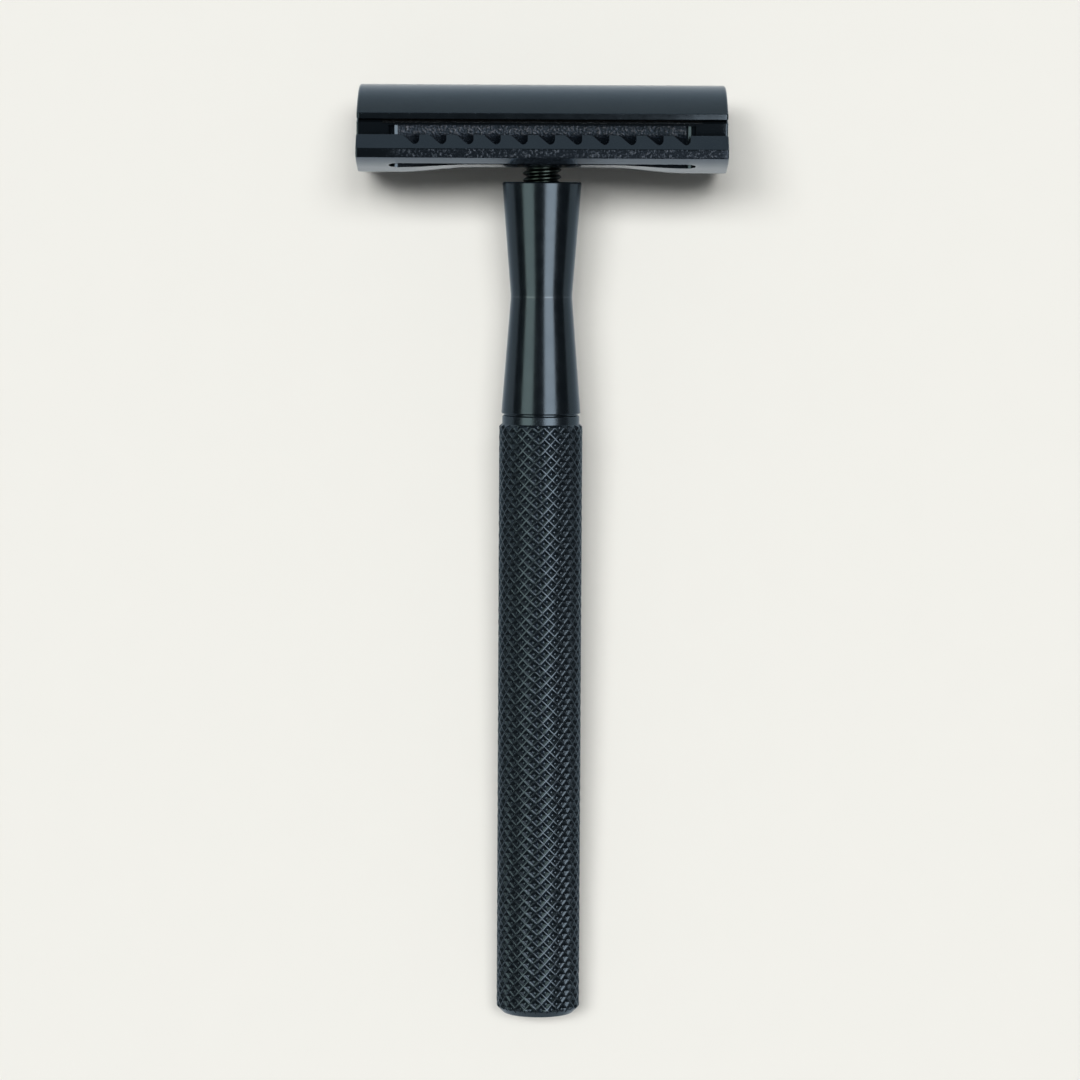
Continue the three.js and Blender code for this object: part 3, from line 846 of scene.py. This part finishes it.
def scallop_cutters(side):
    """The notches of one guard bar: a slightly S-shaped slope, a round floor and a steep wall."""
    floor_level = BAR_TOP_LEVEL - SCALLOP_DEPTH
    clear = BAR_TOP_LEVEL + CUT_PAST
    valley_reach = 0.2
    steps = 16
    notch = [(-SCALLOP_SLOPE_LENGTH, clear)]
    for i in range(steps):
        straight = 1 - i / steps
        curved = (1 - math.cos(math.pi * straight)) / 2
        rise = SCALLOP_DEPTH * (2 * straight + curved) / 3
        notch.append((-SCALLOP_SLOPE_LENGTH * straight, floor_level + rise))
    notch += arc((0, floor_level + SCALLOP_FLOOR_ROUND), SCALLOP_FLOOR_ROUND, -math.pi / 2, 0, 8)
    notch.append((SCALLOP_FLOOR_ROUND, clear))
    cutters = []
    for i in range(SCALLOP_COUNT):
        middle = (i - (SCALLOP_COUNT - 1) / 2) * SCALLOP_PITCH + SCALLOP_SHIFT
        outline = [(side * (x + middle), level) for x, level in notch]
        from_z, to_z = side * (BAR_INNER - valley_reach), side * (PLATE_HALF + CUT_PAST)
        cutters.append(across_head(outline, from_z, to_z))
    return cutters


def lather_slot_cutter(side):
    middle = side * (SLOT_INNER + SLOT_OUTER) / 2
    half_width = (SLOT_OUTER - SLOT_INNER) / 2
    plan = rounded_rectangle(
        SLOT_HALF_LENGTH, middle - half_width, middle + half_width, SLOT_END_ROUND,
    )
    return up_axis(plan, LAND_LEVEL_AT_ENDS - CUT_PAST, SLOT_CEILING_LEVEL)


def build_plate():
    inner_end = HEAD_HALF - PLATE_END_ROUND
    spans = 60
    middle = [inner_end * (2 * i / spans - 1) for i in range(1, spans)]
    plate = along_head(rounded_stations(HEAD_HALF, PLATE_END_ROUND, plate_outline, middle))
    return combined(plate, [
        *shaft_cutters(RUNNING_GAP, LAND_LEVEL_AT_ENDS - CUT_PAST, CAP_CROWN_LEVEL),
        lather_slot_cutter(-1),
        lather_slot_cutter(1),
        *scallop_cutters(-1),
        *scallop_cutters(1),
    ], "DIFFERENCE")


def sort_plate_faces(plate):
    """Puts the slots' walls in the cast finish, and what faces down the handle in the glossy one, which
    is painted lighter as painted reflection.
    """
    smooth, cast, glossy = range(3)
    margin = 0.02 * MM
    # From these shares of its normal along Y, a face counts as level or as facing down the handle.
    level_from = 0.9
    down_from = 0.7
    straight_end = (SLOT_HALF_LENGTH - SLOT_END_ROUND) * MM
    for face in plate.data.polygons:
        x, level, across = (abs(value) for value in face.center)
        in_slot = SLOT_INNER * MM - margin < across < SLOT_OUTER * MM + margin
        in_slot = in_slot and level < SLOT_CEILING_LEVEL * MM + margin
        if in_slot and x < straight_end and abs(face.normal.y) < level_from:
            face.material_index = cast
        elif face.normal.y < -down_from:
            # Faces turned down the handle get the lighter copy of the coating: painted reflection.
            face.material_index = glossy
        else:
            face.material_index = smooth


def blade_outline():
    """The bent sheet's section, ground thinner towards both edges."""
    flat_end = BLADE_REACH - BLADE_GROUND_WIDTH
    steps = 36
    along = [-BLADE_REACH] + [flat_end * (2 * i / steps - 1) for i in range(steps + 1)] + [BLADE_REACH]
    faces = {1: [], -1: []}
    for reach in along:
        thickness = BLADE_THICKNESS if abs(reach) < BLADE_REACH else BLADE_EDGE_THICKNESS
        angle = reach / BLADE_BEND_RADIUS
        for side, face in faces.items():
            radius = BLADE_BEND_RADIUS + side * thickness / 2
            face.append((radius * math.sin(angle), BEND_CENTRE_LEVEL + radius * math.cos(angle)))
    return faces[1] + faces[-1][::-1]


def build_blade():
    outline = blade_outline()
    sheet = along_head([(BLADE_LOW.x, outline), (BLADE_HIGH.x, outline)])
    low, high = BLADE_LOW.y - CUT_PAST, CAP_CROWN_LEVEL
    slot = rounded_rectangle(
        BLADE_SLOT_HALF_LENGTH, -BLADE_SLOT_HALF_WIDTH, BLADE_SLOT_HALF_WIDTH, BLADE_SLOT_HALF_WIDTH,
    )
    cutters = [up_axis(slot, low, high), *shaft_cutters(RUNNING_GAP, low, high)]
    notch_start, past_end = BLADE_EDGE_LENGTH / 2, BLADE_HIGH.x + CUT_PAST
    tab_side, past_side = BLADE_TAB_WIDTH / 2, BLADE_REACH + CUT_PAST
    notch = [
        (notch_start, tab_side), (past_end, tab_side), (past_end, past_side), (notch_start, past_side),
    ]
    for end in (-1, 1):
        for side in (-1, 1):
            corners = [(end * x, side * z, BLADE_NOTCH_ROUND) for x, z in notch]
            cutters.append(up_axis(filleted(corners), low, high))
    return combined(sheet, cutters, "DIFFERENCE")


def build_stud():
    tip_radius = THREAD_ROOT_RADIUS - 0.15
    taper = 0.6
    run_out = 0.3
    envelope = lathe(filleted([
        (0, STUD_LOW.y, 0),
        (tip_radius, STUD_LOW.y, 0.1),
        (THREAD_CREST_RADIUS, STUD_LOW.y + taper, 0),
        (THREAD_CREST_RADIUS, CAP_LIP_LEVEL, 0),
        (STUD_RADIUS, CAP_LIP_LEVEL + run_out, 0),
        (STUD_RADIUS, STUD_HIGH.y, 0),
        (0, STUD_HIGH.y, 0),
    ]))
    thread = threaded_rod(
        THREAD_CREST_RADIUS + THREAD_SPARE, THREAD_ROOT_RADIUS,
        STUD_LOW.y - CUT_PAST, STUD_HIGH.y + CUT_PAST,
    )
    return combined(thread, [envelope], "INTERSECT")


def build_post(x):
    tip = 0.35
    return lathe(filleted([
        (0, POST_LOW.y, 0),
        (POST_RADIUS - tip, POST_LOW.y, 0.12),
        (POST_RADIUS, POST_LOW.y + tip, 0.2),
        (POST_RADIUS, POST_HIGH.y, 0.05),
        (0, POST_HIGH.y, 0),
    ]), x)


# ---------------------------------------------------------------- the handle

def build_neck():
    waist_top = NECK_WAIST_LEVEL + NECK_WAIST_LAND / 2
    waist_bottom = NECK_WAIST_LEVEL - NECK_WAIST_LAND / 2
    step_end = NECK_END_LEVEL - NECK_STEP_LENGTH
    mouth = 0.25
    return lathe(filleted([
        (0, NECK_LOW.y, 0),
        (TENON_RADIUS, NECK_LOW.y, 0.3),
        (TENON_RADIUS, step_end, 0),
        (NECK_STEP_RADIUS, step_end, 0.04),
        (NECK_STEP_RADIUS, NECK_END_LEVEL, 0.08),
        (NECK_RADIUS, NECK_END_LEVEL, NECK_EDGE_ROUND),
        (NECK_WAIST_RADIUS, waist_bottom, 0.08),
        (NECK_WAIST_RADIUS, waist_top, 0.08),
        (NECK_RADIUS, 0, NECK_EDGE_ROUND),
        (NECK_BORE_RADIUS + mouth, 0, 0.05),
        (NECK_BORE_RADIUS, -mouth, 0.05),
        (NECK_BORE_RADIUS, NECK_BORE_END, 0),
        (0, NECK_BORE_END, 0),
    ]))


def build_bush():
    lead_in = 0.25
    tube = lathe(filleted([
        (BUSH_THREAD_CREST_RADIUS + lead_in, BUSH_LOW.y, 0),
        (BUSH_HIGH.x, BUSH_LOW.y, 0.1),
        (BUSH_HIGH.x, BUSH_HIGH.y, 0.1),
        (BUSH_THREAD_CREST_RADIUS + lead_in, BUSH_HIGH.y, 0),
        (BUSH_THREAD_CREST_RADIUS, BUSH_HIGH.y - lead_in, 0),
        (BUSH_THREAD_CREST_RADIUS, BUSH_LOW.y + lead_in, 0),
    ]))
    tap = threaded_rod(
        BUSH_THREAD_ROOT_RADIUS, BUSH_THREAD_CREST_RADIUS - THREAD_SPARE,
        BUSH_LOW.y - CUT_PAST, BUSH_HIGH.y + CUT_PAST,
    )
    return combined(tube, [tap], "DIFFERENCE")


def build_grip():
    knurl_top = GRIP_HIGH.y - COLLAR_LENGTH
    envelope = lathe(filleted([
        (GRIP_BORE_RADIUS, GRIP_LOW.y, 0.1),
        (GRIP_RADIUS - GRIP_END_CHAMFER, GRIP_LOW.y, 0.3),
        (GRIP_RADIUS, GRIP_LOW.y + GRIP_END_CHAMFER, 0.3),
        (GRIP_RADIUS, knurl_top - GRIP_TOP_CHAMFER, 0),
        (GRIP_RADIUS - GRIP_TOP_CHAMFER, knurl_top, 0),
        (COLLAR_RADIUS, knurl_top, 0.06),
        (COLLAR_RADIUS, GRIP_HIGH.y, 0.15),
        (GRIP_BORE_RADIUS, GRIP_HIGH.y, 0.05),
    ]))
    past_end = 3
    knurl = knurled_rod(GRIP_LOW.y - past_end, GRIP_HIGH.y + past_end)
    return combined(knurl, [envelope], "INTERSECT")


def build_end_plug():
    recess = 0.3
    dimple = 0.9
    dimple_lip = 0.1
    flare = 0.4
    return lathe(filleted([
        (0, PLUG_LOW.y + recess, 0),
        (dimple, PLUG_LOW.y + dimple_lip, 0.2),
        (dimple + flare, PLUG_LOW.y, 0.1),
        (PLUG_HIGH.x, PLUG_LOW.y, 0.2),
        (PLUG_HIGH.x, PLUG_HIGH.y, 0.2),
        (0, PLUG_HIGH.y, 0),
    ]))


# ---------------------------------------------------------------- pieces

satin_cap = satin_coating("satin_cap_coating", roughness=0.17, grain_depth=0.0014)
satin_turned = satin_coating("satin_turned_coating", roughness=0.2, grain_depth=0.0028, turned=True)
# The neck's coating carries a painted highlight line at its waist.
satin_neck = satin_coating(
    "satin_neck_coating", roughness=0.2, grain_depth=0.0028, turned=True, painted_highlight_level=NECK_WAIST_LEVEL,
)
# The knurl's coating is painted 22 percent lighter than the same coating elsewhere: painted light.
satin_knurl = satin_coating("satin_knurl_coating", roughness=0.24, grain_depth=0.003, painted_light_scale=1.22)
plate_satin = plate_coating("satin_plate_coating")
plate_cast = cast_coating("plate_cast_coating")
plate_gloss_lit = glossy_lit_coating("plate_underside_coating")
black_steel = machined_metal(
    "machined_black_steel",
    dark=(0.018, 0.028, 0.027), light=(0.03, 0.042, 0.04), roughness=0.32, stretch=LINES_ROUND,
)
# The blade's steel is painted far darker than bare steel: painted shade under the cap.
blade_steel = machined_metal(
    "ground_blade_steel_in_painted_shade",
    dark=(0.2, 0.215, 0.23), light=(0.25, 0.265, 0.28), roughness=0.24, stretch=LINES_ALONG_HEAD,
)
brass = machined_metal(
    "machined_brass",
    dark=(0.56, 0.4, 0.18), light=(0.66, 0.5, 0.26), roughness=0.28, stretch=LINES_ROUND,
)

finished(build_cap(), "cap_shell", "cap", "top_cap", "cap_coating", satin_cap)
finished(build_stud(), "stud_screw", "cap", "threaded_stud", "blackened_steel", black_steel)
for end, place in ((-1, "left"), (1, "right")):
    finished(
        build_post(end * POST_OFFSET), f"post_pin_{place}", "cap", f"guide_post_{place}",
        "blackened_steel", black_steel,
    )
finished(build_blade(), "blade_sheet", "blade", "double_edge_blade", "blade_steel", blade_steel)
plate = finished(
    build_plate(), "plate_casting", "base_plate", "base_plate", "plate_coating",
    plate_satin, plate_cast, plate_gloss_lit,
)
sort_plate_faces(plate)
finished(build_neck(), "neck_turned", "handle", "handle_neck", "neck_coating", satin_neck)
finished(build_bush(), "bush_turned", "handle", "thread_bush", "bush_brass", brass)
finished(build_grip(), "grip_tube", "handle", "knurled_grip", "grip_coating", satin_knurl)
finished(build_end_plug(), "end_plug_turned", "handle", "handle_end_plug", "plug_coating", satin_turned)


# ---------------------------------------------------------------- table, lights and camera

FLOOR_HALF = 3000
FLOOR_THICKNESS = 20

# In metres.
SOFTBOX_DISTANCE = 1.2

# The strip of suns, in degrees from straight up: each sun tilts further left than the last one, and
# all of them tilt the same way beyond the head.
STRIP_SUNS = 4
STRIP_FIRST_TILT = -10
STRIP_TILT_STEP = 9
STRIP_BEYOND_HEAD = 6.5
SUN_ANGLE = 14
SUN_STRENGTH = 0.783

ROOM_TO_THE_EYE = (0.888, 0.88, 0.831)
ROOM_FILL = (0.13, 0.13, 0.13)
ROOM_IN_GLOSS = (0.02, 0.025, 0.03)

# In millimetres from the origin, and in degrees.
CAMERA_PLACE = (-0.02, 1.56, 520.5)
CAMERA_ROLL = 0.3
CAMERA_LENS = 142.4
CAMERA_SENSOR = 36


def build_floor():
    corners = [(-1, -1), (1, -1), (1, 1), (-1, 1)]
    plan = [(x * FLOOR_HALF, y * FLOOR_HALF) for x, y in corners]
    floor = loft([[(x, y, z) for x, y in plan] for z in (-FLOOR_THICKNESS, 0)])
    floor.name = "table_top"
    floor.data.transform(Matrix.Scale(MM, 4))
    floor.data.materials.append(pale_floor("table_top"))


def softbox(name, colour, radiance, left, right, near, far):
    """A panel seen only in reflections. It spans two angles across the razor and two along it."""
    across = math.radians((left + right) / 2)
    along = math.radians((near + far) / 2)
    direction = Vector((
        math.sin(across) * math.cos(along), math.sin(along), math.cos(across) * math.cos(along),
    ))
    light = bpy.data.lights.new(name, "AREA")
    light.shape = "RECTANGLE"
    light.size = 2 * SOFTBOX_DISTANCE * math.tan(math.radians((right - left) / 2))
    light.size_y = 2 * SOFTBOX_DISTANCE * math.tan(math.radians((far - near) / 2))
    light.color = colour
    light.energy = radiance * light.size * light.size_y * math.pi
    panel = bpy.data.objects.new(name, light)
    face_along = Vector((0, math.cos(along), -math.sin(along)))
    sideways = face_along.cross(direction).normalized()
    upright = direction.cross(sideways)
    panel.matrix_world = Matrix((sideways, upright, direction)).transposed().to_4x4()
    panel.location = direction * SOFTBOX_DISTANCE
    panel.visible_diffuse = False
    panel.visible_camera = False
    bpy.context.scene.collection.objects.link(panel)


def build_strip_light():
    """A strip light across the razor, from beyond the head and to its left, made of wide suns.

    Only matt surfaces show it. It draws soft shadows beside the handle and a short one at the head.
    """
    beyond = math.tan(math.radians(STRIP_BEYOND_HEAD))
    for number in range(STRIP_SUNS):
        left = math.tan(math.radians(STRIP_FIRST_TILT + number * STRIP_TILT_STEP))
        light = bpy.data.lights.new(f"strip_{number}", "SUN")
        light.energy = SUN_STRENGTH
        light.angle = math.radians(SUN_ANGLE)
        sun = bpy.data.objects.new(f"strip_{number}", light)
        direction = Vector((-left, beyond, 1))
        sun.rotation_euler = direction.to_track_quat("Z", "Y").to_euler()
        sun.visible_glossy = False
        bpy.context.scene.collection.objects.link(sun)


def build_world():
    """A pale room to the eye, a fill for matt surfaces and a dark studio for glossy ones."""
    world = bpy.data.worlds.new("studio")
    world.use_nodes = True
    bpy.context.scene.world = world
    tree = world.node_tree
    rays = add_node(tree, "LightPath")
    seen = coloured(tree, rays.outputs["Is Camera Ray"], ROOM_FILL, ROOM_TO_THE_EYE)
    around = coloured(tree, rays.outputs["Is Glossy Ray"], seen, ROOM_IN_GLOSS)
    tree.links.new(around, tree.nodes["Background"].inputs["Color"])


def build_camera():
    """Looks straight down from half a metre."""
    data = bpy.data.cameras.new("camera")
    data.lens = CAMERA_LENS
    data.sensor_width = CAMERA_SENSOR
    data.clip_start = 0.01
    camera = bpy.data.objects.new("camera", data)
    camera.location = Vector(CAMERA_PLACE) * MM
    camera.rotation_euler = (0, 0, math.radians(CAMERA_ROLL))
    bpy.context.scene.collection.objects.link(camera)
    bpy.context.scene.camera = camera


build_floor()
build_world()
build_strip_light()
softbox(
    "softbox_left", colour=(0.95, 0.96, 0.78), radiance=3.3, left=-58, right=-24, near=-34, far=34,
)
softbox(
    "softbox_right", colour=(1.0, 0.92, 0.87), radiance=7.0, left=10.5, right=44, near=-34, far=34,
)
softbox(
    "backdrop_glow", colour=(0.95, 0.98, 1.0), radiance=0.8, left=-35, right=35, near=50, far=89,
)
build_camera()
bpy.context.scene.view_settings.view_transform = "Standard"
